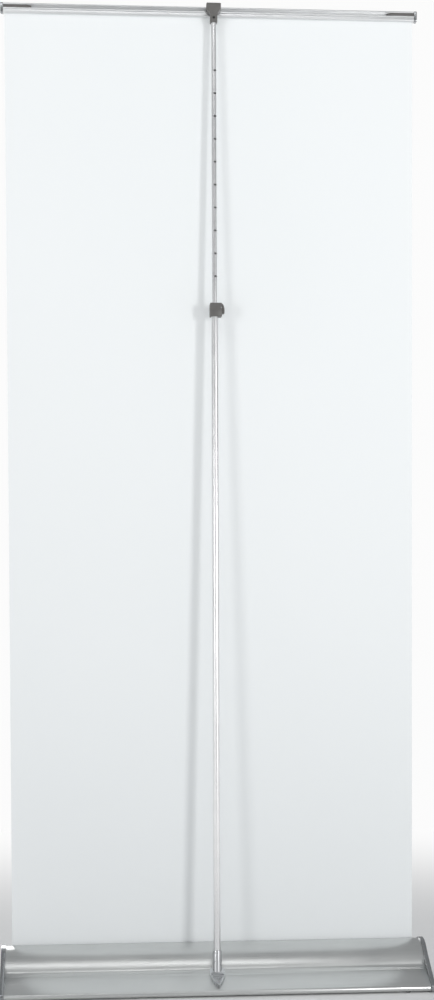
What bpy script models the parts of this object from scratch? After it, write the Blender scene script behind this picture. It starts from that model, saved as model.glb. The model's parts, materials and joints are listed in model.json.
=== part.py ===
"""Roll-up banner stand: a cassette base with a spring roller, the banner sheet, its top rail,
and a leaning pole in three sections that holds the rail up from behind.

Metres, +Z up. X runs along the width, the banner faces -Y and the pole stands behind it at +Y.
Left is -X and right is +X, as seen from the printed face. The origin is on the floor, under the
middle of the base. Sections are drawn as (back, up): back is the distance behind the banner.
"""
import bmesh
import bpy
from math import acos, cos, hypot, pi, radians, sin, tan
from mathutils import Matrix, Vector

# ---- driving sizes -------------------------------------------------------------------------
GAP = 0.0003                 # seat clearance between two pieces that touch

BANNER_WIDTH = 0.914
BANNER_SHOWN = 2.0785        # from the top of the base up to the rail
BANNER_THICK = 0.0006
BANNER_GRIP = 0.0065         # length held inside the rail
SEAM_DEPTH = 0.0035          # join of banner and leader, below the top of the base

BASE_LENGTH = 0.960          # over the end caps
FOOT_HEIGHT = 0.003          # underside of the casing above the floor
HUMP_HEIGHT = 0.090          # top of the casing above its underside
HUMP_HALF_DEPTH = 0.078
HUMP_BACK = 0.012            # middle of the hump behind the banner
WALL = 0.002
SLOT = 0.005                 # opening that the banner leaves by
NOSE_BACK = 0.149            # centre of the rounded rear edge behind the banner
NOSE_RADIUS = 0.007
DECK_SLOPE = radians(22)
LIP = 0.013                  # flat strip under the rear edge
JUNCTION_FILLET = 0.005
GROOVES = (0.007, 0.0115)    # distances of the two deck grooves from the hump
GROOVE_WIDTH = 0.0012
GROOVE_DEPTH = 0.0006

CAP_THICK = 0.009
CAP_FACE = 0.0025            # outer face of an end cap
CAP_PROUD = 0.0025           # rim of an end cap beyond the casing
CAP_CORNER = radians(47)     # where the rim leaves the hump, round the hump's ellipse
CAP_FLOOR = 0.0012           # underside of an end cap above the floor
PLATE_THICK = 0.004          # end plate inside each cap
HUB_RADIUS = 0.012
HUB_DEPTH = 0.005

PORT_RADIUS = 0.0020         # screw ports that run the length of the casing
PORT_WALL = 0.0016
PORT_SLIT = radians(35)
SCREW_SHANK = 0.0034
SCREW_BITE = 0.010
SCREW_HEAD = 0.0072
SCREW_HEAD_HEIGHT = 0.0020

FOOT_RADIUS = 0.006
FOOT_INSET = 0.050           # feet in from the ends of the casing
FRONT_FOOT_BACK = -0.050

ROLLER_HEIGHT = 0.046        # roller axis above the floor
ROLLER_RADIUS = 0.014
ROLLER_WALL = 0.0012
ROLLER_LENGTH = 0.920
WRAP_THICK = 0.0006          # turns of leader that stay on the roller
PLUG_LENGTH = 0.020
PLUG_FLANGE = 0.002
SHAFT_RADIUS = 0.004
BUSH_WALL = 0.0025
SPINDLE_LENGTH = 0.300       # spring spindle inside the roller
SPRING_TURNS = 20
SPRING_RADIUS = 0.0075
SPRING_WIRE = 0.0009

RAIL_LENGTH = 0.932          # over the rail's end caps
RAIL_HEIGHT = 0.0215
RAIL_FRONT = 0.007           # rail in front of the banner
RAIL_BACK = 0.009            # rail behind the banner
RAIL_WALL = 0.0018
RAIL_TOP_LIP = 0.0033        # top edge above the mouth of the rear channel
RAIL_MOUTH = 0.0067          # height of that mouth
RAIL_CHANNEL_DEPTH = 0.0078  # from the rail's rear face to the channel's floor
RAIL_PART_LINE = 0.0082      # top of the clamp strip above the rail's underside
RAIL_CAP = 0.006
RAIL_CAP_PROUD = 0.0008
TONGUE_LENGTH = 0.062
TONGUE_TIP = 0.012

POLE_FOOT_BACK = 0.094       # pole at the deck, behind the banner
POLE_TOP_BACK = 0.021        # pole at the rail, behind the banner
POLE_TOP_SIDE = -0.006       # pole at the rail, to the side
SOCKET_FLOOR = 0.004         # end of the pole above the deck
TUBE_RADIUS = 0.008          # lower and middle sections
TUBE_WALL = 0.001
UPPER_RADIUS = 0.006
LOWER_LENGTH = 0.705
MIDDLE_LENGTH = 0.758
SPIGOT_LENGTH = 0.110
UPPER_OVERLAP = 0.092        # upper section left inside the middle one
FERRULE_FLANGE = 0.002

SLEEVE_HEIGHT = 0.048
SLEEVE_WALL = 0.0020
SHIELD_HALF_WIDTH = 0.0165
SHIELD_FRONT = 0.0095        # shield in front of the pole, along the deck
SHIELD_SHOULDER = 0.016      # where its sides turn in
SHIELD_TIP = 0.056
SHIELD_THICK = 0.008
SHIELD_RIM = 0.0026
SHIELD_POCKET = 0.004
SHIELD_SCREW_SIDE = 0.0120
SHIELD_SCREW_BACK = 0.0065

COLLAR_HEIGHT = 0.030
COLLAR_SEAT = 0.0082         # length of the middle section inside the collar
COLLAR_PLUS_X = 0.011
COLLAR_MINUS_X = 0.016
COLLAR_HALF_DEPTH = 0.012
LEVER_OUT = 0.021            # outer face of the latch lever from the pole's axis
LEVER_HALF_WIDTH = 0.0062
LEVER_LOW = -0.0085          # lever's ends above and below the collar's middle
LEVER_HIGH = 0.0125
LEVER_INNER = 0.0125         # lever's inner face from the pole's axis
PIVOT_X = -0.0145
PIVOT_Z = 0.004
PIVOT_RADIUS = 0.00125
LATCH_OPEN = radians(9)      # lever's turn from its engaged to its released position
TOOTH_Z = -0.0033            # top of the latch tooth above the collar's middle
TOOTH_HEIGHT = 0.0019
TOOTH_REACH = 0.0048         # tip of the tooth from the pole's axis
TOOTH_FRONT = -0.0002        # front and rear faces of the tooth from the pole's axis
TOOTH_REAR = 0.0030
NOTCH_PITCH = 0.0508
NOTCH_COUNT = 10
NOTCH_GAP = 0.0795           # first notch of the ladder above the one in use
NOTCH_HEIGHT = 0.0036
NOTCH_FLOOR = 0.0030         # cut's flat from the pole's axis
NOTCH_TURN = radians(135)    # direction the notches face, from +X towards the back
NOTCH_CLEAR_TOP = 0.100      # room kept between the ladder and the hook

HOOK_HALF_WIDTH = 0.016
HOOK_ABOVE = 0.010           # head above and below the channel's middle
HOOK_BELOW = 0.005
HOOK_TAPER = 0.013
HOOK_STEM = 0.033
HOOK_HALF_STEM = 0.0078
HOOK_FACE = 0.0005           # head behind the rail's rear face
FINGER_HALF_WIDTH = 0.014
FINGER_DROP = 0.0026
FINGER_REACH = 0.0173
FINGER_LIP = 0.0030
HOOK_BORE_TOP = 0.006        # end of the upper section under the channel's middle
RIVET_RADIUS = 0.0015

ROUND = 32                   # sides of a turned piece

# ---- sizes that follow ---------------------------------------------------------------------
CAP_NOSE = NOSE_RADIUS + CAP_PROUD
BASE_FRONT = HUMP_BACK - HUMP_HALF_DEPTH - CAP_PROUD
BASE_REAR = NOSE_BACK + CAP_NOSE
BANNER_Y = -(BASE_FRONT + BASE_REAR) / 2
CASING_HALF = BASE_LENGTH / 2 - CAP_THICK
BASE_TOP = FOOT_HEIGHT + HUMP_HEIGHT
RAIL_Z = BASE_TOP + BANNER_SHOWN
CHANNEL_Z = RAIL_HEIGHT - RAIL_TOP_LIP - RAIL_MOUTH / 2
ROLLER_BACK = BANNER_THICK / 2 + GAP + WRAP_THICK + GAP + ROLLER_RADIUS
NOSE = (NOSE_BACK, FOOT_HEIGHT + NOSE_RADIUS)


# ---- outlines, as lists of (back, up) ------------------------------------------------------
def arc(centre, radii, start, stop, steps):
    """Points on an ellipse from one angle to another; 0 points back and 90 degrees points up."""
    angles = [start + (stop - start) * i / steps for i in range(steps + 1)]
    return [(centre[0] + radii[0] * cos(a), centre[1] + radii[1] * sin(a)) for a in angles]


def soften(before, corner, after, reach, steps=5):
    """A corner rounded by a curve that starts and ends the reach away from it."""
    def towards(point):
        run, rise = point[0] - corner[0], point[1] - corner[1]
        share = reach / hypot(run, rise)
        return corner[0] + run * share, corner[1] + rise * share
    first, last = towards(before), towards(after)
    curve = []
    for i in range(steps + 1):
        t = i / steps
        curve.append(tuple((1 - t) ** 2 * a + 2 * t * (1 - t) * b + t ** 2 * c
                           for a, b, c in zip(first, corner, last)))
    return curve


def grow(outline, distance):
    """The outline moved outwards; its points run anticlockwise."""
    moved = []
    for i, point in enumerate(outline):
        before, after = outline[i - 1], outline[(i + 1) % len(outline)]
        edge_in = Vector((point[0] - before[0], point[1] - before[1])).normalized()
        edge_out = Vector((after[0] - point[0], after[1] - point[1])).normalized()
        normal = Vector((edge_in.y + edge_out.y, -edge_in.x - edge_out.x)).normalized()
        stretch = distance / max(0.5, normal.dot(Vector((edge_in.y, -edge_in.x))))
        moved.append((point[0] + normal.x * stretch, point[1] + normal.y * stretch))
    return moved


def deck_height(back, below=0.0):
    """Height of the deck's top at a distance behind the banner, or of a line under it."""
    edge = NOSE_RADIUS - below
    start = NOSE[0] + edge * sin(DECK_SLOPE), NOSE[1] + edge * cos(DECK_SLOPE)
    return start[1] + (start[0] - back) * tan(DECK_SLOPE)


def hump_angle(back, radius=HUMP_HALF_DEPTH):
    """Angle round the hump's ellipse at a distance behind the banner."""
    return acos((back - HUMP_BACK) / radius)


def hump_meets_deck(below=0.0):
    """Angle round the hump's outside where a line under the deck's top reaches it."""
    low, high = 0.0, pi / 2
    for _ in range(40):
        middle = (low + high) / 2
        back = HUMP_BACK + HUMP_HALF_DEPTH * cos(middle)
        above = FOOT_HEIGHT + HUMP_HEIGHT * sin(middle) - deck_height(back, below)
        low, high = (low, middle) if above > 0 else (middle, high)
    return high


HUMP_CENTRE = (HUMP_BACK, FOOT_HEIGHT)
HUMP_OUTER = (HUMP_HALF_DEPTH, HUMP_HEIGHT)
HUMP_INNER = (HUMP_HALF_DEPTH - WALL, HUMP_HEIGHT - WALL)


def deck_top():
    """Deck from the rear edge forward to the hump, with its grooves and the rounded corner."""
    meet = hump_meets_deck()
    corner = arc(HUMP_CENTRE, HUMP_OUTER, meet, meet, 1)[0]
    up_hump = arc(HUMP_CENTRE, HUMP_OUTER, meet + 0.12, meet + 0.12, 1)[0]
    points = []
    for distance in reversed(GROOVES):
        middle = corner[0] + distance * cos(DECK_SLOPE)
        half = GROOVE_WIDTH / 2
        for back, depth in ((middle + half, 0), (middle + half, GROOVE_DEPTH),
                            (middle - half, GROOVE_DEPTH), (middle - half, 0)):
            points.append((back, deck_height(back) - depth))
    return points + soften(points[-1], corner, up_hump, JUNCTION_FILLET)


def deck_normal_angle():
    """Direction square to the deck's top."""
    return pi / 2 - DECK_SLOPE


def nose(radius, start, stop, steps=8):
    return arc(NOSE, (radius, radius), start, stop, steps)


def casing_outline():
    """Section of the casing: a chamber round the roller with a slot on top, and the deck."""
    slot_front, slot_rear = -SLOT / 2, SLOT / 2
    under = hump_meets_deck(WALL)
    floor_angle = WALL / HUMP_INNER[1]
    inner = NOSE_RADIUS - WALL
    points = arc(HUMP_CENTRE, HUMP_OUTER, hump_angle(slot_front), pi, 16)
    points += arc(HUMP_CENTRE, HUMP_OUTER, 0, under, 5)
    points += nose(inner, deck_normal_angle(), -pi / 2, 6)
    points += [(NOSE_BACK - LIP, FOOT_HEIGHT + WALL), (NOSE_BACK - LIP, FOOT_HEIGHT)]
    points += nose(NOSE_RADIUS, -pi / 2, deck_normal_angle())
    points += deck_top()
    flank = hump_meets_deck() + JUNCTION_FILLET / HUMP_HEIGHT * 1.6
    points += arc(HUMP_CENTRE, HUMP_OUTER, flank, hump_angle(slot_rear), 12)
    points += arc(HUMP_CENTRE, HUMP_INNER, hump_angle(slot_rear, HUMP_INNER[0]), floor_angle, 12)
    points += arc(HUMP_CENTRE, HUMP_INNER, pi - floor_angle,
                  hump_angle(slot_front, HUMP_INNER[0]), 12)
    return points


def plate_outline():
    """Outside of the casing's section, closed over the slot and under the deck."""
    points = nose(NOSE_RADIUS, -pi / 2, deck_normal_angle())
    points += deck_top()[len(GROOVES) * 4:]
    flank = hump_meets_deck() + JUNCTION_FILLET / HUMP_HEIGHT * 1.6
    return points + arc(HUMP_CENTRE, HUMP_OUTER, flank, pi, 28)


def cap_outline():
    """End cap: the hump with a rim all round, and a straight side wall above the deck."""
    radii = HUMP_HALF_DEPTH + CAP_PROUD, HUMP_HEIGHT + CAP_PROUD
    hump = arc(HUMP_CENTRE, radii, CAP_CORNER, pi, 26)
    tip = nose(CAP_NOSE, radians(58), radians(58), 1)[0]
    points = nose(CAP_NOSE, -radians(68), radians(58), 8)
    points += soften(tip, hump[0], hump[2], JUNCTION_FILLET)
    points += hump[3:]
    return [(back, max(up, CAP_FLOOR)) for back, up in points] + [(BASE_FRONT, CAP_FLOOR)]


def port_outline(centre, opening):
    """Screw port: most of a ring, open towards one side."""
    start, stop = opening + PORT_SLIT, opening + 2 * pi - PORT_SLIT
    outer = PORT_RADIUS + PORT_WALL
    return (arc(centre, (outer, outer), start, stop, 12)
            + arc(centre, (PORT_RADIUS, PORT_RADIUS), stop, start, 12))


def port_places():
    """Centre and open side of each screw port: front floor, top of the hump, under the deck."""
    sunk = PORT_RADIUS + PORT_WALL - 0.0006
    front = HUMP_BACK - HUMP_INNER[0] + sunk + 0.0008
    top = arc(HUMP_CENTRE, [r - sunk for r in HUMP_INNER], radians(68), radians(68), 1)[0]
    deck_back = NOSE_BACK - 0.022
    deck = deck_back, deck_height(deck_back, WALL) - sunk / cos(DECK_SLOPE)
    return (((front, FOOT_HEIGHT + WALL + sunk), radians(45)),
            (top, radians(-115)),
            (deck, radians(-110)))


# ---- making objects ------------------------------------------------------------------------
def material(name, colour, metallic, roughness):
    made = bpy.data.materials.new(name)
    made.use_nodes = True
    shader = made.node_tree.nodes["Principled BSDF"]
    shader.inputs["Base Color"].default_value = (*colour, 1)
    shader.inputs["Metallic"].default_value = metallic
    shader.inputs["Roughness"].default_value = roughness
    made.diffuse_color = (*colour, 1)
    return made


def add_object(name, mesh, finish, parent=None, place=(0, 0, 0)):
    made = bpy.data.objects.new(name, mesh)
    bpy.context.scene.collection.objects.link(made)
    made.location = place
    made.parent = parent
    if finish is None:
        made.hide_render = True
        made.display_type = "WIRE"
    else:
        mesh.materials.append(finish)
    return made


def close_mesh(name, shape, smooth=False):
    bmesh.ops.recalc_face_normals(shape, faces=shape.faces[:])
    mesh = bpy.data.meshes.new(name)
    shape.to_mesh(mesh)
    shape.free()
    if smooth:
        mesh.shade_smooth()
        mesh.set_sharp_from_angle(angle=radians(32))
    return mesh


def extrude(name, outline, start, stop, along, finish, parent=None, place=(0, 0, 0)):
    """A closed outline pushed along one axis. along is a function from (a, b, c) to a point."""
    shape = bmesh.new()
    first = [shape.verts.new(along(a, b, start)) for a, b in outline]
    last = [shape.verts.new(along(a, b, stop)) for a, b in outline]
    shape.faces.new(first)
    shape.faces.new(list(reversed(last)))
    for i in range(len(outline)):
        j = (i + 1) % len(outline)
        shape.faces.new((first[j], first[i], last[i], last[j]))
    return add_object(name, close_mesh(name, shape, True), finish, parent, place)


def section_x(back, up, x):
    """A base section's point, in the world."""
    return x, BANNER_Y + back, up


def plain_x(y, z, x):
    return x, y, z


def plain_y(x, z, y):
    return x, y, z


def plain_z(x, y, z):
    return x, y, z


def turned(name, profile, finish, parent=None, place=(0, 0, 0), axis="Z", hollow=False,
           sides=ROUND):
    """A profile of (radius, height) spun round an axis; a hollow one closes on itself."""
    shape = bmesh.new()
    rings = []
    for radius, height in profile:
        count = sides if radius > 0 else 1
        ring = []
        for i in range(count):
            a, b = radius * cos(2 * pi * i / sides), radius * sin(2 * pi * i / sides)
            at = {"Z": (a, b, height), "X": (height, a, b), "Y": (b, height, a)}[axis]
            ring.append(shape.verts.new(at))
        rings.append(ring)
    pairs = list(zip(rings, rings[1:]))
    if hollow:
        pairs.append((rings[-1], rings[0]))
    for one, two in pairs:
        for i in range(sides):
            j = (i + 1) % sides
            if len(one) == 1:
                shape.faces.new((one[0], two[i], two[j]))
            elif len(two) == 1:
                shape.faces.new((one[i], one[j], two[0]))
            else:
                shape.faces.new((one[i], one[j], two[j], two[i]))
    return add_object(name, close_mesh(name, shape, True), finish, parent, place)


def rod(radius, start, stop):
    return [(0, start), (radius, start), (radius, stop), (0, stop)]


def pipe(outer, inner, start, stop):
    return [(outer, start), (inner, start), (inner, stop), (outer, stop)]


def block(name, low, high, finish, parent=None, place=(0, 0, 0)):
    outline = [(low[0], low[1]), (high[0], low[1]), (high[0], high[1]), (low[0], high[1])]
    return extrude(name, outline, low[2], high[2], plain_z, finish, parent, place)


def combine(target, tool, operation="DIFFERENCE"):
    step = target.modifiers.new(tool.name, "BOOLEAN")
    step.operation = operation
    step.solver = "EXACT"
    step.object = tool


def round_edges(target, width, segments=2, angle=40):
    step = target.modifiers.new("rounded edges", "BEVEL")
    step.width = width
    step.segments = segments
    step.limit_method = "ANGLE"
    step.angle_limit = radians(angle)


def frame_empty(name, place, turn=None, parent=None):
    made = bpy.data.objects.new(name, None)
    bpy.context.scene.collection.objects.link(made)
    made.rotation_mode = "QUATERNION"
    made.location = place
    if turn is not None:
        made.rotation_quaternion = turn
    made.parent = parent
    return made


# ---- the base ------------------------------------------------------------------------------
def make_casing(finishes):
    half = CASING_HALF - GAP
    casing = extrude("cassette_shell", casing_outline(), -half, half, section_x,
                     finishes["aluminium"])
    for number, (centre, opening) in enumerate(port_places(), 1):
        port = extrude(f"screw_port_{number}", port_outline(centre, opening),
                       -half + 0.001, half - 0.001, section_x, None)
        combine(casing, port, "UNION")
    return casing


def make_ends(finishes):
    """Each end: the plate with the roller's seat, its three screws, and the chrome cap."""
    roller_y = BANNER_Y + ROLLER_BACK
    bush_hole = SHAFT_RADIUS + GAP + BUSH_WALL + GAP
    for side, sign in (("left", -1), ("right", 1)):
        inner = sign * CASING_HALF
        outer = sign * (CASING_HALF + PLATE_THICK)
        plate = extrude(f"end_plate_{side}", plate_outline(), inner, outer, section_x,
                        finishes["grey plastic"])
        hub = turned(f"hub_{side}", rod(HUB_RADIUS, inner - sign * HUB_DEPTH,
                                        inner + sign * PLATE_THICK / 2),
                     None, None, (0, roller_y, ROLLER_HEIGHT), "X")
        combine(plate, hub, "UNION")
        reach = (inner - sign * 2 * HUB_DEPTH, outer + sign * PLATE_THICK)
        if side == "left":
            square = SHAFT_RADIUS + GAP
            hole = extrude("spindle_hole", [(-square, -square), (square, -square),
                                            (square, square), (-square, square)],
                           *reach, plain_x, None, None, (0, roller_y, ROLLER_HEIGHT))
        else:
            hole = turned("bush_hole", rod(bush_hole, *reach), None, None,
                          (0, roller_y, ROLLER_HEIGHT), "X")
        combine(plate, hole)
        for number, (centre, _) in enumerate(port_places(), 1):
            place = (0, BANNER_Y + centre[0], centre[1])
            screw_hole = turned(f"screw_hole_{side}_{number}",
                                rod(SCREW_SHANK / 2 + 2 * GAP, *reach), None, None, place, "X",
                                sides=16)
            combine(plate, screw_hole)
            add_screw(f"end_screw_{side}_{number}", outer + sign * GAP, -sign,
                      PLATE_THICK + SCREW_BITE, place, finishes["steel"])
        cap = extrude(f"end_cap_{side}", cap_outline(), inner,
                      sign * BASE_LENGTH / 2, section_x, finishes["chrome"])
        pocket = extrude(f"cap_pocket_{side}", grow(plate_outline(), GAP),
                         inner - sign * CAP_THICK,
                         sign * (BASE_LENGTH / 2 - CAP_FACE), section_x, None)
        combine(cap, pocket)


def add_screw(name, seat, direction, length, place, finish, parent=None, axis="X"):
    """Round-head screw: head's underside at seat, shank pointing in the direction's sign."""
    head, shank = SCREW_HEAD / 2, SCREW_SHANK / 2
    top = seat - direction * SCREW_HEAD_HEIGHT
    profile = [(0, top), (head * 0.7, top), (head, top + direction * SCREW_HEAD_HEIGHT * 0.5),
               (head, seat), (shank, seat), (shank, seat + direction * (length - shank)),
               (0, seat + direction * length)]
    return turned(name, profile, finish, parent, place, axis, sides=16)


def make_feet(finishes):
    places = [(FRONT_FOOT_BACK, "front"), (NOSE_BACK - LIP / 2, "rear")]
    for back, row in places:
        for side, sign in (("left", -1), ("right", 1)):
            x = sign * (CASING_HALF - FOOT_INSET)
            profile = [(0, 0), (FOOT_RADIUS - 0.0008, 0), (FOOT_RADIUS, 0.0008),
                       (FOOT_RADIUS, FOOT_HEIGHT - GAP), (0, FOOT_HEIGHT - GAP)]
            turned(f"foot_{row}_{side}", profile, finishes["rubber"], None,
                   (x, BANNER_Y + back, 0), sides=24)


# ---- the roller ----------------------------------------------------------------------------
def make_roller(finishes):
    frame = frame_empty("roller_frame", (0, BANNER_Y + ROLLER_BACK, ROLLER_HEIGHT))
    half = ROLLER_LENGTH / 2
    inner = ROLLER_RADIUS - ROLLER_WALL
    flange = half + GAP
    turned("roller_tube", pipe(ROLLER_RADIUS, inner, -half, half), finishes["aluminium"], frame,
           axis="X", hollow=True)
    wrap = ROLLER_RADIUS + GAP
    turned("leader_turns", pipe(wrap + WRAP_THICK, wrap, -BANNER_WIDTH / 2, BANNER_WIDTH / 2),
           finishes["film"], frame, axis="X", hollow=True, sides=40)
    stem = inner - GAP
    bore = SHAFT_RADIUS + GAP
    turned("roller_plug_left",
           [(ROLLER_RADIUS, -flange - PLUG_FLANGE), (bore, -flange - PLUG_FLANGE),
            (bore, -flange + PLUG_LENGTH), (stem, -flange + PLUG_LENGTH), (stem, -flange),
            (ROLLER_RADIUS, -flange)],
           finishes["black plastic"], frame, axis="X", hollow=True)
    journal = CASING_HALF + PLATE_THICK
    turned("roller_plug_right",
           [(0, flange - PLUG_LENGTH), (stem, flange - PLUG_LENGTH), (stem, flange),
            (ROLLER_RADIUS, flange), (ROLLER_RADIUS, flange + PLUG_FLANGE),
            (SHAFT_RADIUS, flange + PLUG_FLANGE), (SHAFT_RADIUS, journal), (0, journal)],
           finishes["black plastic"], frame, axis="X")
    make_spring(finishes, frame, stem)


def make_spring(finishes, frame, stem):
    """Fixed spindle, the torsion spring round it, and the anchor that turns with the tube."""
    seat = SPRING_RADIUS - SPRING_WIRE - GAP
    left = -CASING_HALF - PLATE_THICK
    collar = -ROLLER_LENGTH / 2 + PLUG_LENGTH + 0.010
    end = collar + SPINDLE_LENGTH
    turned("spring_spindle",
           [(0, left), (SHAFT_RADIUS, left), (SHAFT_RADIUS, collar), (seat, collar),
            (seat, collar + 0.012), (SHAFT_RADIUS, collar + 0.012), (SHAFT_RADIUS, end),
            (0, end)],
           finishes["steel"], frame, axis="X")
    spring_end = end + 0.016
    turned("spring_anchor",
           [(0, end + GAP), (seat, end + GAP), (seat, spring_end), (stem, spring_end),
            (stem, spring_end + 0.014), (0, spring_end + 0.014)],
           finishes["black plastic"], frame, axis="X")
    coil(finishes["steel"], frame, collar + SPRING_WIRE, spring_end - 2 * SPRING_WIRE)


def coil(finish, frame, start, stop, per_turn=10, sides=5):
    shape = bmesh.new()
    rings = []
    steps = SPRING_TURNS * per_turn
    pitch = (stop - start) / (2 * pi * SPRING_TURNS)
    for i in range(steps + 1):
        turn = 2 * pi * i / per_turn
        out = Vector((0, cos(turn), sin(turn)))
        run = Vector((pitch, -SPRING_RADIUS * sin(turn), SPRING_RADIUS * cos(turn))).normalized()
        side = run.cross(out)
        middle = Vector((start + pitch * turn, 0, 0)) + out * SPRING_RADIUS
        ring = []
        for k in range(sides):
            a = 2 * pi * k / sides
            ring.append(shape.verts.new(middle + (out * cos(a) + side * sin(a)) * SPRING_WIRE))
        rings.append(ring)
    shape.faces.new(rings[0])
    shape.faces.new(list(reversed(rings[-1])))
    for one, two in zip(rings, rings[1:]):
        for k in range(sides):
            n = (k + 1) % sides
            shape.faces.new((one[k], one[n], two[n], two[k]))
    add_object("roller_spring", close_mesh("roller_spring", shape, True), finish, frame)


def make_bush(finishes):
    bore = SHAFT_RADIUS + GAP
    outer = bore + BUSH_WALL
    start, stop = CASING_HALF - HUB_DEPTH, CASING_HALF + PLATE_THICK
    flange = 0.0012
    turned("roller_bush",
           [(bore, start - flange), (outer + 0.002, start - flange), (outer + 0.002, start - GAP),
            (outer, start - GAP), (outer, stop), (bore, stop)],
           finishes["white plastic"], None, (0, BANNER_Y + ROLLER_BACK, ROLLER_HEIGHT), "X",
           hollow=True)


# ---- banner --------------------------------------------------------------------------------
def make_banner(finishes):
    half = BANNER_WIDTH / 2
    thin = BANNER_THICK / 2
    seam = BASE_TOP - SEAM_DEPTH
    block("banner", (-half, -thin, seam), (half, thin, RAIL_Z + BANNER_GRIP),
          finishes["banner"], None, (0, BANNER_Y, 0))
    block("leader_strip", (-half, -thin, ROLLER_HEIGHT), (half, thin, seam - GAP),
          finishes["film"], None, (0, BANNER_Y, 0))


# ---- top rail ------------------------------------------------------------------------------
def rail_outline():
    """Rail: a channel open to the back, and a front leaf with a foot that bears on the banner."""
    front, back, top, wall = -RAIL_FRONT, RAIL_BACK, RAIL_HEIGHT, RAIL_WALL
    mouth_top = top - RAIL_TOP_LIP
    mouth_low = mouth_top - RAIL_MOUTH
    inside = back - wall
    floor = back - RAIL_CHANNEL_DEPTH
    grip = -BANNER_THICK / 2 - GAP
    corner = arc((front + 0.003, top - 0.003), (0.003, 0.003), pi, pi / 2, 5)
    return ([(grip, 0), (front + 0.0012, 0), (front, 0.0012)] + corner
            + [(back - 0.0012, top), (back, top - 0.0012), (back, mouth_top),
               (inside, mouth_top), (inside, top - wall), (floor, top - wall),
               (floor, mouth_low - 0.0015), (inside, mouth_low - 0.0015), (inside, mouth_low),
               (back, mouth_low), (back, RAIL_PART_LINE), (front + 0.0024, RAIL_PART_LINE),
               (front + 0.0024, 0.0050), (grip, 0.0042)])


def strip_outline():
    """Clamp strip behind the banner, under the channel."""
    grip = BANNER_THICK / 2 + GAP
    top = RAIL_PART_LINE - 2 * GAP
    return [(grip, 0), (RAIL_BACK - 0.0015, 0), (RAIL_BACK, 0.0015), (RAIL_BACK, top),
            (grip + 0.002, top), (grip + 0.002, 0.0065), (grip, 0.0055)]


def rail_cap_outline():
    proud = RAIL_CAP_PROUD
    low, high = -proud, RAIL_HEIGHT + proud
    front, back = -RAIL_FRONT - proud, RAIL_BACK + proud
    corner = 0.003
    return (arc((back - corner, high - corner), (corner, corner), 0, pi / 2, 4)
            + arc((front + corner, high - corner), (corner, corner), pi / 2, pi, 4)
            + arc((front + corner, low + corner), (corner, corner), pi, 3 * pi / 2, 4)
            + arc((back - corner, low + corner), (corner, corner), -pi / 2, 0, 4))


def tongue_outline(sign):
    """Filler that each end cap pushes into the rear channel, seen from behind."""
    end = RAIL_LENGTH / 2 - RAIL_CAP - GAP
    tip = end - TONGUE_LENGTH
    middle = CHANNEL_Z
    half = RAIL_MOUTH / 2 - GAP
    points = [(end, middle - half), (end, middle + half), (tip + TONGUE_TIP, middle + half)]
    points += [(tip, middle + 0.0008), (tip, middle - 0.0008),
               (tip + TONGUE_TIP, middle - half)]
    return [(sign * x, z) for x, z in points]


def make_rail(finishes):
    frame = frame_empty("rail_frame", (0, BANNER_Y, RAIL_Z))
    half = RAIL_LENGTH / 2 - RAIL_CAP - GAP
    extrude("top_rail", rail_outline(), -half, half, plain_x, finishes["aluminium"], frame)
    extrude("rail_clamp_strip", strip_outline(), -half, half, plain_x, finishes["aluminium"],
            frame)
    floor = RAIL_BACK - RAIL_CHANNEL_DEPTH
    for side, sign in (("left", -1), ("right", 1)):
        extrude(f"rail_cap_{side}", rail_cap_outline(), sign * (RAIL_LENGTH / 2 - RAIL_CAP),
                sign * RAIL_LENGTH / 2, plain_x, finishes["chrome"], frame)
        extrude(f"rail_tongue_{side}", tongue_outline(sign), floor + GAP, RAIL_BACK - 0.0006,
                plain_y, finishes["dark plastic"], frame)


# ---- pole ----------------------------------------------------------------------------------
def pole_ends():
    """Lower end of the pole on its axis, and the point where the hook holds the rail."""
    foot = Vector((0, BANNER_Y + POLE_FOOT_BACK, deck_height(POLE_FOOT_BACK) + SOCKET_FLOOR))
    top = Vector((POLE_TOP_SIDE, BANNER_Y + POLE_TOP_BACK, RAIL_Z + CHANNEL_Z))
    return foot, top


def shield_outline(shrink, front):
    """The socket's shield as (x, along the deck): straight sides that turn in to a point."""
    side, tip = SHIELD_HALF_WIDTH - shrink, SHIELD_TIP - shrink * 2.2
    right = [(side - 0.0015, front), (side, front + 0.0015)]
    for i in range(9):
        t = i / 8
        right.append((side * (1 - t) * (1 + 0.35 * t),
                      SHIELD_SHOULDER + (tip - SHIELD_SHOULDER) * t))
    return right + [(-x, y) for x, y in reversed(right[:-1])]


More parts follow.
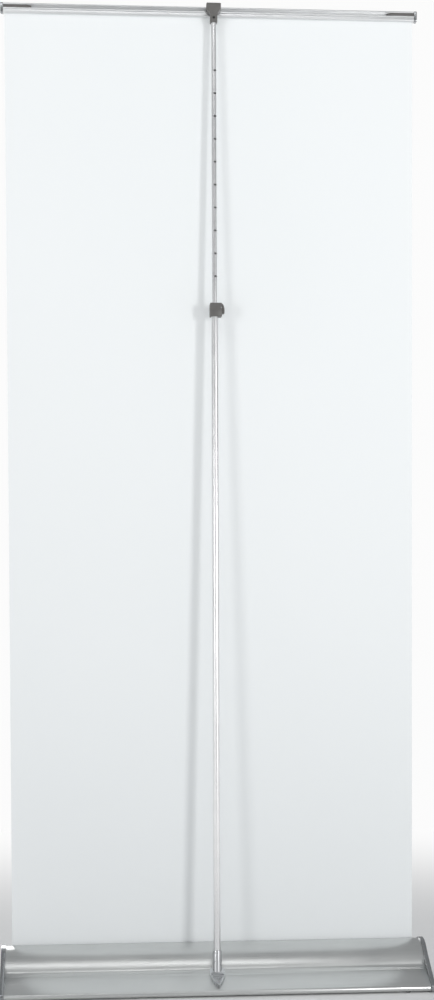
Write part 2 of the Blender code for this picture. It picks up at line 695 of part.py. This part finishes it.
def make_socket(finishes, foot, lean):
    """Shield-shaped casting screwed to the deck, with the sleeve that the pole stands in."""
    deck = frame_empty("deck_frame", (foot.x, foot.y, deck_height(POLE_FOOT_BACK)),
                       Matrix.Rotation(-DECK_SLOPE, 4, "X").to_quaternion())
    socket = extrude("pole_socket", shield_outline(0, -SHIELD_FRONT), 0, SHIELD_THICK,
                     plain_z, finishes["silver"], deck)
    outer = TUBE_RADIUS + GAP + SLEEVE_WALL
    sleeve = turned("socket_sleeve", rod(outer, -SOCKET_FLOOR, SLEEVE_HEIGHT), None, lean)
    casing_room = extrude("casing_room", grow(plate_outline(), GAP), -2 * SHIELD_HALF_WIDTH,
                          2 * SHIELD_HALF_WIDTH, section_x, None)
    pocket = extrude("socket_pocket", shield_outline(SHIELD_RIM, SHIELD_SHOULDER - 0.004),
                     SHIELD_THICK - SHIELD_POCKET, 2 * SHIELD_THICK, plain_z, None, deck)
    bore = turned("socket_bore", rod(TUBE_RADIUS + GAP, -GAP, 2 * SLEEVE_HEIGHT), None, lean,
                  sides=28)
    combine(socket, pocket)
    combine(socket, sleeve, "UNION")
    combine(socket, casing_room)
    combine(socket, bore)
    casing = bpy.data.objects["cassette_shell"]
    for side, sign in (("left", -1), ("right", 1)):
        place = (sign * SHIELD_SCREW_SIDE, SHIELD_SCREW_BACK, 0)
        hole = turned(f"socket_hole_{side}", rod(SCREW_SHANK / 2 + GAP, -4 * WALL, 0.0060), None,
                      deck, place, sides=16)
        combine(socket, hole)
        combine(casing, hole)
        add_screw(f"socket_screw_{side}", -WALL - GAP, 1, WALL + 0.0060, place,
                  finishes["steel"], deck, "Z")


def make_lower_pole(finishes, lean):
    inner = TUBE_RADIUS - TUBE_WALL
    fit = inner - GAP
    start = FERRULE_FLANGE + GAP
    joint = start + LOWER_LENGTH
    turned("pole_foot_plug",
           [(0, 0), (TUBE_RADIUS - 0.0008, 0), (TUBE_RADIUS, 0.0008),
            (TUBE_RADIUS, FERRULE_FLANGE), (fit, FERRULE_FLANGE), (fit, 0.018), (0, 0.018)],
           finishes["black plastic"], lean)
    turned("pole_lower_tube", pipe(TUBE_RADIUS, inner, start, joint), finishes["aluminium"],
           lean, hollow=True)
    half = SPIGOT_LENGTH / 2
    turned("pole_spigot", pipe(fit, fit - 0.0015, joint - half, joint + half), finishes["steel"],
           lean, hollow=True)
    return joint


def make_middle_pole(finishes, lean, joint):
    start = joint + GAP
    top = start + MIDDLE_LENGTH
    turned("pole_middle_tube", pipe(TUBE_RADIUS, TUBE_RADIUS - TUBE_WALL, start, top),
           finishes["aluminium"], lean, hollow=True)
    centre = top - COLLAR_SEAT + COLLAR_HEIGHT / 2
    place = (0, 0, centre)
    half = COLLAR_HEIGHT / 2
    collar = block("collar_body", (-COLLAR_MINUS_X, -COLLAR_HALF_DEPTH, -half),
                   (COLLAR_PLUS_X, COLLAR_HALF_DEPTH, half), finishes["dark plastic"], lean,
                   place)
    round_edges(collar, 0.0022)
    seat = turned("collar_seat", rod(TUBE_RADIUS + GAP, -half * 2, -half + COLLAR_SEAT + GAP),
                  None, lean, place)
    bore = turned("collar_bore", rod(UPPER_RADIUS + GAP, -half * 2, half * 2), None, lean, place)
    width = LEVER_HALF_WIDTH + GAP
    room = block("lever_room", (-2 * LEVER_OUT, -width, LEVER_LOW - 0.0012),
                 (-LEVER_INNER + 0.0016, width, LEVER_HIGH + 0.0008), None, lean, place)
    tooth_room = block("tooth_room", (-LEVER_OUT, -0.0034, TOOTH_Z - 0.0060),
                       (0, 0.0034, TOOTH_Z + 0.0010), None, lean, place)
    pin_hole = turned("pin_hole", rod(PIVOT_RADIUS + GAP, -0.030, 0.030), None, lean,
                      (PIVOT_X, 0, centre + PIVOT_Z), "Y", sides=16)
    for tool in (seat, bore, room, tooth_room, pin_hole):
        combine(collar, tool)
    make_latch(finishes, lean, centre)
    return top, centre


def make_latch(finishes, lean, centre):
    """Rocking lever, drawn released. Turned back by LATCH_OPEN, its tooth enters a notch."""
    pivot = frame_empty("latch_frame", (PIVOT_X, 0, centre + PIVOT_Z),
                        Matrix.Rotation(LATCH_OPEN, 4, "Y").to_quaternion(), lean)

    def at(x, z):
        return x - PIVOT_X, z - PIVOT_Z

    tooth_low = TOOTH_Z - TOOTH_HEIGHT
    bulge = 0.0016
    face = []
    for i in range(9):
        t = i / 8
        face.append(at(-LEVER_OUT + bulge - bulge * sin(pi * t),
                       LEVER_LOW + (LEVER_HIGH - LEVER_LOW) * t))
    outline = face + [at(-LEVER_INNER - 0.0020, LEVER_HIGH), at(-LEVER_INNER, TOOTH_Z + 0.003),
                      at(-LEVER_INNER, LEVER_LOW)]
    lever = extrude("latch_lever", outline, -LEVER_HALF_WIDTH, LEVER_HALF_WIDTH, plain_y,
                    finishes["dark plastic"], pivot)
    tooth = extrude("latch_tooth",
                    [at(-LEVER_INNER - 0.002, tooth_low - 0.0006), at(-TOOTH_REACH, tooth_low),
                     at(-TOOTH_REACH, TOOTH_Z), at(-LEVER_INNER - 0.002, TOOTH_Z)],
                    TOOTH_FRONT, TOOTH_REAR, plain_y, None, pivot)
    hole = turned("lever_hole", rod(PIVOT_RADIUS + GAP, -0.030, 0.030), None, pivot, (0, 0, 0),
                  "Y", sides=16)
    combine(lever, tooth, "UNION")
    combine(lever, hole)
    reach = COLLAR_HALF_DEPTH - 0.0005
    turned("latch_pin", rod(PIVOT_RADIUS, -reach, reach), finishes["steel"], lean,
           (PIVOT_X, 0, centre + PIVOT_Z), "Y", sides=16)


def make_upper_pole(finishes, lean, top, centre, length):
    """Upper section with its ladder of notches, the guide on its lower end, and the hook."""
    inner = UPPER_RADIUS - TUBE_WALL
    start = top - UPPER_OVERLAP
    end = length - HOOK_BORE_TOP - GAP
    tube = turned("pole_upper_tube", pipe(UPPER_RADIUS, inner, start, end),
                  finishes["aluminium"], lean, hollow=True)
    in_use = centre + TOOTH_Z + GAP - NOTCH_HEIGHT / 2
    heights = [in_use]
    for i in range(NOTCH_COUNT):
        height = in_use + NOTCH_GAP + i * NOTCH_PITCH
        if height < length - NOTCH_CLEAR_TOP:
            heights.append(height)
    for number, height in enumerate(heights):
        notch = block(f"notch_{number}", (NOTCH_FLOOR, -0.010, -NOTCH_HEIGHT / 2),
                      (0.010, 0.010, NOTCH_HEIGHT / 2), None, lean, (0, 0, height))
        notch.rotation_euler = (0, 0, NOTCH_TURN)
        combine(tube, notch)
    guide = TUBE_RADIUS - TUBE_WALL - GAP
    turned("pole_guide",
           [(0, start - 0.010), (guide - 0.001, start - 0.010), (guide, start - 0.009),
            (guide, start - GAP), (inner - GAP, start - GAP), (inner - GAP, start + 0.014),
            (0, start + 0.014)],
           finishes["white plastic"], lean)
    make_hook(finishes, lean, tube, length)


def make_hook(finishes, lean, tube, length):
    """Head that stands behind the rail, with a finger that lifts the rail's top lip."""
    place = (0, 0, length)
    to_rail = POLE_TOP_BACK - RAIL_BACK
    front = -(to_rail - HOOK_FACE)
    stem = HOOK_HALF_STEM
    hook = block("hook_body", (-HOOK_HALF_WIDTH, front, -HOOK_BELOW),
                 (HOOK_HALF_WIDTH, stem, HOOK_ABOVE), finishes["dark plastic"], lean, place)
    round_edges(hook, 0.0014)
    neck = extrude("hook_neck",
                   [(HOOK_HALF_WIDTH - 0.0016, -HOOK_BELOW), (HOOK_HALF_WIDTH - 0.0016, 0),
                    (-HOOK_HALF_WIDTH + 0.0016, 0), (-HOOK_HALF_WIDTH + 0.0016, -HOOK_BELOW),
                    (-stem, -HOOK_TAPER), (-stem, -HOOK_STEM), (stem, -HOOK_STEM),
                    (stem, -HOOK_TAPER)],
                   -stem, stem - 0.0005, plain_y, None, lean, place)
    under_lip = RAIL_MOUTH / 2 - GAP
    finger = extrude("hook_finger",
                     [(0, -FINGER_DROP), (-FINGER_REACH, -FINGER_DROP),
                      (-FINGER_REACH, under_lip + 0.0012),
                      (-FINGER_REACH + FINGER_LIP, under_lip + 0.0012),
                      (-FINGER_REACH + FINGER_LIP, under_lip), (0, under_lip)],
                     -FINGER_HALF_WIDTH, FINGER_HALF_WIDTH, plain_x, None, lean, place)
    bore = turned("hook_bore", rod(UPPER_RADIUS + GAP, -2 * HOOK_STEM, -HOOK_BORE_TOP), None,
                  lean, place)
    rivet_place = (0, 0, length - (HOOK_TAPER + HOOK_STEM) / 2)
    rivet_hole = turned("rivet_hole", rod(RIVET_RADIUS + GAP, -0.020, 0.020), None, lean,
                        rivet_place, "Y", sides=16)
    for tool in (neck, finger):
        combine(hook, tool, "UNION")
    for tool in (bore, rivet_hole):
        combine(hook, tool)
    combine(tube, rivet_hole)
    reach = stem + 0.0002
    head = RIVET_RADIUS + 0.0012
    turned("hook_rivet",
           [(0, -reach), (RIVET_RADIUS, -reach), (RIVET_RADIUS, reach), (head, reach),
            (head * 0.8, reach + 0.0007), (0, reach + 0.0010)],
           finishes["steel"], lean, rivet_place, "Y", sides=16)


def make_pole(finishes):
    foot, top = pole_ends()
    axis = top - foot
    lean = frame_empty("pole_frame", foot, Vector((0, 0, 1)).rotation_difference(axis))
    make_socket(finishes, foot, lean)
    joint = make_lower_pole(finishes, lean)
    middle_top, centre = make_middle_pole(finishes, lean, joint)
    make_upper_pole(finishes, lean, middle_top, centre, axis.length)


def main():
    for old in list(bpy.data.objects):
        bpy.data.objects.remove(old)
    finishes = {
        "aluminium": material("satin aluminium", (0.72, 0.73, 0.73), 1.0, 0.34),
        "silver": material("silver casting", (0.66, 0.67, 0.68), 1.0, 0.28),
        "chrome": material("chrome", (0.55, 0.56, 0.57), 1.0, 0.08),
        "steel": material("zinc steel", (0.60, 0.60, 0.60), 1.0, 0.35),
        "banner": material("banner film", (0.87, 0.90, 0.91), 0.0, 0.55),
        "film": material("leader film", (0.80, 0.80, 0.78), 0.0, 0.45),
        "dark plastic": material("dark grey plastic", (0.075, 0.070, 0.067), 0.0, 0.45),
        "black plastic": material("black plastic", (0.02, 0.02, 0.02), 0.0, 0.50),
        "grey plastic": material("grey plastic", (0.22, 0.22, 0.22), 0.0, 0.50),
        "white plastic": material("white acetal", (0.80, 0.79, 0.75), 0.0, 0.40),
        "rubber": material("black rubber", (0.015, 0.015, 0.015), 0.0, 0.85),
    }
    make_casing(finishes)
    make_ends(finishes)
    make_feet(finishes)
    make_roller(finishes)
    make_bush(finishes)
    make_banner(finishes)
    make_rail(finishes)
    make_pole(finishes)


main()
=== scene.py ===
"""Looks of the roll-up banner stand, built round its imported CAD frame.

Metres, +Z up. The banner faces -Y; the pole stands behind it at +Y, on the camera's side.
"""
import json
from math import cos, pi, radians, sin

import bpy
from mathutils import Matrix, Vector


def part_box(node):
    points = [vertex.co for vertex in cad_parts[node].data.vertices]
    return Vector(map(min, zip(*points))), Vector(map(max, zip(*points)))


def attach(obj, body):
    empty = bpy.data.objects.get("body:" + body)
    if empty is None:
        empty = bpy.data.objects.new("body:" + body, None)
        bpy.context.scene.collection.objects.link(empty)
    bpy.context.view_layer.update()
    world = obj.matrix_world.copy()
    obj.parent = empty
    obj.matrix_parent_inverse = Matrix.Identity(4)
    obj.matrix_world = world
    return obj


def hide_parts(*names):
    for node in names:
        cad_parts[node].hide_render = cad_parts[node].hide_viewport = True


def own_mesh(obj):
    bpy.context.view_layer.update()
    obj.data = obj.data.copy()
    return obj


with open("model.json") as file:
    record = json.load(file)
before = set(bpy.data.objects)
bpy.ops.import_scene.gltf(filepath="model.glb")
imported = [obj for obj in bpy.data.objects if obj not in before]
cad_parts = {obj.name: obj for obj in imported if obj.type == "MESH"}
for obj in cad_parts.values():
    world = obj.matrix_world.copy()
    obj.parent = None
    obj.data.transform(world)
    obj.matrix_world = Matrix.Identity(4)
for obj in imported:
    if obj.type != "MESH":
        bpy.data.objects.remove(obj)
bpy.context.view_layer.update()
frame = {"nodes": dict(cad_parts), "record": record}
NODES = frame["nodes"]
BODY_OF = {node: body for body, members in frame["record"]["behaviour"]["bodies"].items()
           for node in members}
SLOT_OF = {part["node"]: part["material_slot"] for part in frame["record"]["subparts"]}


# ---- finishes ------------------------------------------------------------------------------
class Signal:
    """One output of a finish's nodes. Arithmetic on it adds Math nodes."""

    def __init__(self, tree, socket=None):
        self.tree = tree
        self.socket = socket

    def node(self, kind, settings=None, inputs=None, output=0):
        """Adds a node: its settings first, then the values or links of its sockets."""
        made = self.tree.nodes.new("ShaderNode" + kind)
        for name, value in (settings or {}).items():
            setattr(made, name, value)
        for name, value in (inputs or {}).items():
            if isinstance(value, Signal):
                self.tree.links.new(value.socket, made.inputs[name])
            else:
                made.inputs[name].default_value = value
        return Signal(self.tree, made.outputs[output])

    def math(self, operation, first, second):
        return self.node("Math", {"operation": operation}, {0: first, 1: second})

    def __add__(self, other):
        return self.math("ADD", self, other)

    __radd__ = __add__

    def __mul__(self, other):
        return self.math("MULTIPLY", self, other)

    __rmul__ = __mul__


def new_finish(name):
    """An empty material, its shader, and a signal to start its nodes from."""
    finish = bpy.data.materials.new(name)
    finish.use_nodes = True
    shader = finish.node_tree.nodes["Principled BSDF"]
    return finish, shader, Signal(finish.node_tree)


def feed(shader, start, **values):
    """Sets or links the shader's sockets; a name's underscores stand for spaces."""
    for name, value in values.items():
        socket = shader.inputs[name.replace("_", " ")]
        if isinstance(value, Signal):
            start.tree.links.new(value.socket, socket)
        else:
            socket.default_value = value


def noise(start, scale, stretch=(1, 1, 1), detail=3.0, rough=0.5, turn=(0, 0, 0)):
    """Noise from 0 to 1 on object coordinates, turned first, finer along larger stretches."""
    place = start.node("TexCoord", output="Object")
    if any(turn):
        place = start.node("Mapping", inputs={"Vector": place, "Rotation": turn})
    place = start.node("Mapping", inputs={"Vector": place, "Scale": stretch})
    return start.node("TexNoise", {"noise_dimensions": "3D"},
                      {"Vector": place, "Scale": scale, "Detail": detail, "Roughness": rough},
                      "Fac")


def tint(start, amount, dark, light):
    """A colour between two, by an amount from 0 to 1."""
    return start.node("Mix", {"data_type": "RGBA"},
                      {0: amount, 6: (*dark, 1), 7: (*light, 1)}, 2)


def bumped(start, height, distance):
    """A normal raised by a height from 0 to 1, times a distance in metres."""
    return start.node("Bump", inputs={"Height": height, "Distance": distance,
                                      "Strength": 1.0}, output="Normal")


def spread(start, value, low, high):
    """The middle of a noise's range opened out to the given limits."""
    return start.node("MapRange", {"clamp": True},
                      {"Value": value, "From Min": 0.3, "From Max": 0.7,
                       "To Min": low, "To Max": high}, "Result")


def drawn_aluminium(name, grain, dark, light, rough, line_height=0.0000015, turn=(0, 0, 0)):
    """Anodised extrusion: fine lines along its length, and a faint cloudiness."""
    finish, shader, start = new_finish(name)
    lines = noise(start, 1.0, grain, 2.0, 0.65, turn)
    cloud = noise(start, 9.0)
    feed(shader, start,
         Base_Color=tint(start, spread(start, cloud * 0.6 + lines * 0.4, 0, 1), dark, light),
         Metallic=1.0,
         Roughness=spread(start, lines * 0.7 + cloud * 0.3, rough - 0.05, rough + 0.07),
         Normal=bumped(start, lines, line_height))
    return finish


def bright_metal(name, dark, light, rough, grain_scale, grain_height):
    """Plated or cast metal with a light orange peel and rubbed patches."""
    finish, shader, start = new_finish(name)
    grain = noise(start, grain_scale, detail=2.0)
    rubbed = noise(start, 35.0, detail=4.0)
    feed(shader, start, Base_Color=tint(start, spread(start, rubbed, 0, 1), dark, light),
         Metallic=1.0, Roughness=spread(start, rubbed, rough, rough + 0.08),
         Normal=bumped(start, grain, grain_height))
    return finish


def moulded_plastic(name, dark, light, rough, grain_scale=1400.0, grain_height=0.00003):
    """Spark-eroded moulding: a fine even grain, a touch shinier where hands rub it."""
    finish, shader, start = new_finish(name)
    grain = noise(start, grain_scale, detail=2.0, rough=0.6)
    handled = noise(start, 60.0, detail=3.0)
    feed(shader, start, Base_Color=tint(start, spread(start, grain * 0.5 + handled * 0.5, 0, 1),
                                        dark, light),
         Roughness=spread(start, handled, rough - 0.06, rough + 0.06),
         Normal=bumped(start, grain, grain_height))
    return finish


def film(name, dark, light, rough, tooth_height):
    """Blockout film: a very fine calendered tooth and slow unevenness in its whiteness."""
    finish, shader, start = new_finish(name)
    tooth = noise(start, 900.0, (1, 1, 1), 2.0, 0.7)
    slow = noise(start, 1.6, (1, 1, 0.5), 2.0)
    rolled = noise(start, 1.0, (0.6, 1, 26.0), 2.0)
    feed(shader, start, Base_Color=tint(start, spread(start, slow * 0.7 + tooth * 0.3, 0, 1),
                                        dark, light),
         Roughness=spread(start, slow, rough - 0.04, rough + 0.04),
         Normal=bumped(start, tooth * 0.35 + rolled * 8.0, tooth_height))
    return finish


LENGTHWISE = (0.5, 1400.0, 1400.0)
UPRIGHT = (1600.0, 1600.0, 1.2)
POLE_LEAN = (-0.03406, 0.0028, 0.0)
FINISHES = {
    "casing_aluminium": drawn_aluminium("anodised casing", LENGTHWISE, (0.64, 0.65, 0.645),
                                        (0.70, 0.71, 0.70), 0.31, 0.0000007),
    "rail_aluminium": drawn_aluminium("anodised rail", LENGTHWISE, (0.72, 0.73, 0.74),
                                      (0.78, 0.79, 0.795), 0.36, 0.0000006),
    "pole_aluminium": drawn_aluminium("bright anodised tube", UPRIGHT, (0.82, 0.82, 0.83),
                                      (0.88, 0.88, 0.88), 0.27, 0.000001, POLE_LEAN),
    "chrome_trim": bright_metal("chrome-plated moulding", (0.36, 0.37, 0.38),
                                (0.42, 0.43, 0.44), 0.20, 160.0, 0.000010),
    "silver_casting": bright_metal("silver casting", (0.60, 0.61, 0.62), (0.69, 0.70, 0.71),
                                   0.24, 700.0, 0.00003),
    "zinc_steel": bright_metal("zinc-plated steel", (0.50, 0.51, 0.52), (0.62, 0.62, 0.61),
                               0.30, 500.0, 0.00001),
    "blackened_steel": bright_metal("blackened steel", (0.045, 0.045, 0.046),
                                    (0.065, 0.064, 0.063), 0.40, 500.0, 0.00001),
    "end_plate_plastic": moulded_plastic("grey end plate", (0.19, 0.19, 0.19),
                                         (0.24, 0.24, 0.24), 0.50),
    "dark_grey_plastic": moulded_plastic("dark grey moulding", (0.105, 0.101, 0.097),
                                         (0.140, 0.136, 0.131), 0.42),
    "black_plastic": moulded_plastic("black moulding", (0.016, 0.016, 0.016),
                                     (0.028, 0.028, 0.028), 0.48),
    "white_plastic": moulded_plastic("white acetal", (0.76, 0.75, 0.70), (0.82, 0.81, 0.77),
                                     0.38, 900.0, 0.00001),
    "foot_rubber": moulded_plastic("black rubber", (0.012, 0.012, 0.012),
                                   (0.022, 0.022, 0.021), 0.80, 800.0, 0.00006),
    "banner_film": film("white banner film", (0.855, 0.885, 0.895), (0.885, 0.910, 0.918), 0.52,
                        0.00004),
    "leader_film": film("leader film", (0.74, 0.74, 0.71), (0.80, 0.80, 0.77), 0.44, 0.00003),
}


# ---- working on a piece ----------------------------------------------------------------------
def only(piece):
    """Selects one piece alone and makes it the active one."""
    bpy.ops.object.select_all(action="DESELECT")
    piece.select_set(True)
    bpy.context.view_layer.objects.active = piece


def apply(piece, kind, **settings):
    """Adds a modifier to a piece and applies it."""
    only(piece)
    step = piece.modifiers.new(kind.lower(), kind)
    for name, value in settings.items():
        setattr(step, name, value)
    bpy.ops.object.modifier_apply(modifier=step.name)


def dress(piece, slot):
    """Gives a piece the finish of a material slot."""
    piece.data.materials.clear()
    piece.data.materials.append(FINISHES[slot])


def finish_piece(piece, body, slot, stands_for, smooth=35):
    """Smooth shading, finish, body to ride on, and the nodes that the piece stands for."""
    only(piece)
    bpy.ops.object.shade_smooth_by_angle(angle=radians(smooth))
    dress(piece, slot)
    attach(piece, body)
    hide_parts(*stands_for)


def eased_copy(node, width):
    """A node's shape with its edges eased, as deburring or a mould's radii leave them."""
    mesh = NODES[node].data.copy()
    piece = bpy.data.objects.new(node + "_eased", mesh)
    bpy.context.scene.collection.objects.link(piece)
    only(piece)
    bpy.ops.object.mode_set(mode="EDIT")
    bpy.ops.mesh.select_all(action="SELECT")
    bpy.ops.mesh.remove_doubles(threshold=0.000004)
    bpy.ops.mesh.dissolve_limited(angle_limit=radians(0.6))
    bpy.ops.object.mode_set(mode="OBJECT")
    apply(piece, "BEVEL", width=width, segments=3, limit_method="ANGLE",
          angle_limit=radians(30), use_clamp_overlap=True, miter_outer="MITER_ARC")
    finish_piece(piece, BODY_OF[node], SLOT_OF[node], (node,))


for node, piece in NODES.items():
    dress(piece, SLOT_OF[node])

for node, width in (("cassette_shell", 0.0003), ("end_cap_left", 0.0012),
                    ("end_cap_right", 0.0012), ("top_rail", 0.0003),
                    ("rail_clamp_strip", 0.0002), ("rail_cap_left", 0.0010),
                    ("rail_cap_right", 0.0010), ("rail_tongue_left", 0.0003),
                    ("rail_tongue_right", 0.0003), ("pole_socket", 0.0006),
                    ("collar_body", 0.0004), ("latch_lever", 0.0006), ("hook_body", 0.0005)):
    eased_copy(node, width)


# ---- banner ----------------------------------------------------------------------------------
def make_banner():
    """The printed film, held in the slot and in the rail, nearly flat under the roller's pull."""
    low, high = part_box("banner")
    width, length = high.x - low.x, high.z - low.z
    middle = (low + high) / 2
    bpy.ops.object.select_all(action="DESELECT")
    bpy.ops.mesh.primitive_grid_add(x_subdivisions=48, y_subdivisions=96, size=1,
                                    location=middle, rotation=(pi / 2, 0, 0))
    sheet = bpy.context.active_object
    sheet.name = "banner_sheet"
    sheet.scale = (width, length, 1)
    bpy.ops.object.transform_apply(location=True, rotation=True, scale=True)
    for corner in sheet.data.vertices:
        up = (corner.co.z - low.z) / length
        across = (corner.co.x - middle.x) / (width / 2)
        free = sin(pi * min(1, max(0, up))) ** 0.6
        curl = 0.00012 * free * abs(across) ** 7
        ripple = 0.0001 * free * sin(across * 5.1 + up * 2.3) * cos(up * 7.0)
        corner.co.y = middle.y + curl + ripple
    apply(sheet, "SOLIDIFY", thickness=high.y - low.y, offset=0)
    finish_piece(sheet, "base", "banner_film", ("banner",), 40)
    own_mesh(sheet)


make_banner()


# ---- floor, light and camera -------------------------------------------------------------------
def make_floor():
    """Pale floor that fades into the background a few metres out."""
    bpy.ops.object.select_all(action="DESELECT")
    bpy.ops.mesh.primitive_plane_add(size=80, location=(0, 0, 0))
    floor = bpy.context.active_object
    floor.name = "studio_floor"
    finish, shader, start = new_finish("pale floor")
    feed(shader, start, Base_Color=(0.90, 0.90, 0.90, 1), Roughness=0.75)
    place = start.node("TexCoord", output="Object")
    reach = start.node("VectorMath", {"operation": "LENGTH"}, {0: place}, "Value")
    far = start.node("MapRange", {"interpolation_type": "SMOOTHSTEP"},
                     {"Value": reach, "From Min": 0.7, "From Max": 2.6}, "Result")
    glow = start.node("Emission", inputs={"Color": (1, 1, 1, 1), "Strength": 0.97})
    tree = finish.node_tree
    surface = Signal(tree, shader.outputs[0])
    both = start.node("MixShader", inputs={0: far, 1: surface, 2: glow})
    tree.links.new(both.socket, tree.nodes["Material Output"].inputs["Surface"])
    floor.data.materials.append(finish)


def soft_light(name, place, target, size, power):
    """A rectangular lamp turned to face a point."""
    lamp = bpy.data.lights.new(name, "AREA")
    lamp.shape = "RECTANGLE"
    lamp.size, lamp.size_y = size
    lamp.energy = power
    made = bpy.data.objects.new(name, lamp)
    bpy.context.scene.collection.objects.link(made)
    made.location = place
    aim = Vector(target) - Vector(place)
    made.rotation_mode = "QUATERNION"
    made.rotation_quaternion = aim.to_track_quat("-Z", "Y")


def make_background():
    """Soft white surroundings, shown brighter than the light they give."""
    world = bpy.data.worlds.new("studio")
    world.use_nodes = True
    tree = world.node_tree
    tree.nodes.clear()
    start = Signal(tree)
    seen = start.node("LightPath", output="Is Camera Ray")
    give = start.node("Background", inputs={"Color": (0.96, 0.98, 1.0, 1), "Strength": 0.37})
    show = start.node("Background", inputs={"Color": (1, 1, 1, 1), "Strength": 0.97})
    both = start.node("MixShader", inputs={0: seen, 1: give, 2: show})
    output = tree.nodes.new("ShaderNodeOutputWorld")
    tree.links.new(both.socket, output.inputs["Surface"])
    bpy.context.scene.world = world


def make_camera():
    """Camera behind the stand, near its middle height, turned a little to one side."""
    yaw, pitch, roll = 0.0775, 0.0367, -0.0040
    forward = Vector((-sin(yaw) * cos(pitch), -cos(yaw) * cos(pitch), -sin(pitch)))
    level = Vector((-cos(yaw), sin(yaw), 0))
    upright = level.cross(forward)
    right = level * cos(roll) + upright * sin(roll)
    up = upright * cos(roll) - level * sin(roll)
    data = bpy.data.cameras.new("camera")
    data.sensor_width = 36
    data.lens = 61.2
    data.shift_y = 0.15
    data.clip_start, data.clip_end = 0.05, 200
    camera = bpy.data.objects.new("camera", data)
    bpy.context.scene.collection.objects.link(camera)
    turn = Matrix((right, up, -forward)).transposed()
    camera.matrix_world = Matrix.Translation((0.2885, 3.7954, 0.8987)) @ turn.to_4x4()
    bpy.context.scene.camera = camera


make_floor()
make_background()
soft_light("lamp_right", (-2.2, 3.4, 1.35), (0, 0, 0.9), (0.5, 0.8), 42)
soft_light("lamp_left", (2.9, 3.3, 1.35), (0, 0, 0.9), (0.8, 1.0), 27)
soft_light("lamp_above", (0.3, 2.1, 3.4), (0, 0, 0.1), (3.2, 0.3), 13)
soft_light("lamp_front", (0.6, -4.5, 2.6), (0, 0, 1.1), (2.0, 2.0), 60)
make_camera()
bpy.context.scene.view_settings.view_transform = "Standard"
